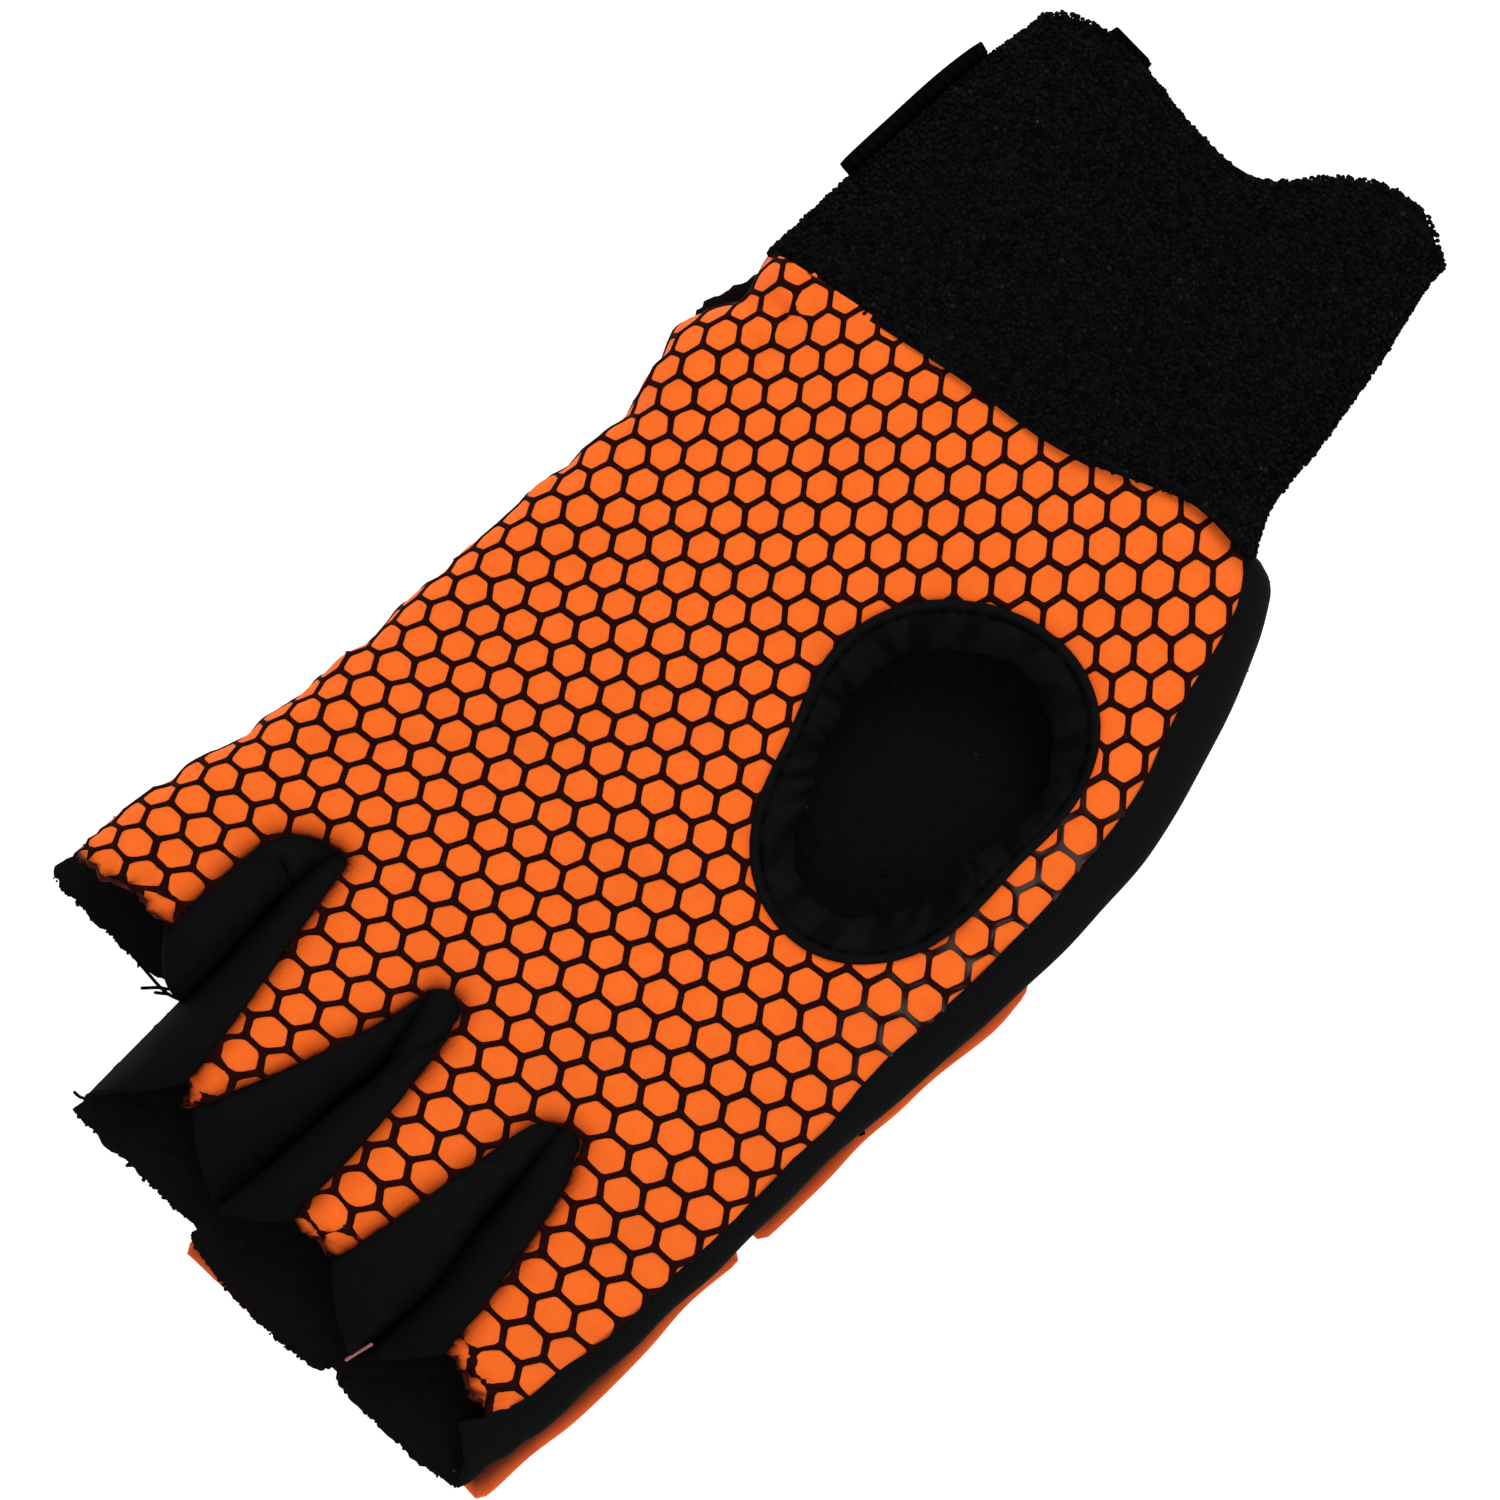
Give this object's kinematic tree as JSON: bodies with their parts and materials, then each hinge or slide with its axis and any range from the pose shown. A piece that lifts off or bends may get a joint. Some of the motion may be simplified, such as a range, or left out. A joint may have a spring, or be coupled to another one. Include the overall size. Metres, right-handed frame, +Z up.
{
  "type": "field hockey glove",
  "caption": "Fingerless left-hand glove with a honeycomb-printed palm, a bound thumb hole, folded strips between open finger stalls, a terry cuff and a padded back.",
  "frame": {"origin": "on the surface that the glove lies on, under the middle of its outline", "axes": "+X towards the little finger's side, +Y towards the fingertips, +Z up out of the palm"},
  "size_m": [0.1096, 0.227, 0.0275],
  "materials": {
    "printed_palm": "orange knit with a raised black rubber honeycomb print",
    "black_knit": "smooth black stretch knit",
    "fleece": "black brushed fleece",
    "terry": "black looped terry",
    "orange_pad": "smooth orange cloth over foam",
    "webbing": "black woven webbing"
  },
  "bodies": {
    "root": {"palm_panel": "printed_palm", "thumb_binding": "black_knit", "fourchette_1": "black_knit", "fourchette_2": "black_knit", "fourchette_3": "black_knit", "side_gusset": "black_knit", "back_panel": "fleece", "hand_pad": "orange_pad", "index_pad": "orange_pad", "middle_pad": "orange_pad", "ring_pad": "orange_pad", "pinky_pad": "orange_pad", "cuff": "terry", "wrist_facing": "webbing", "closing_strap": "webbing"}
  },
  "joints": []
}
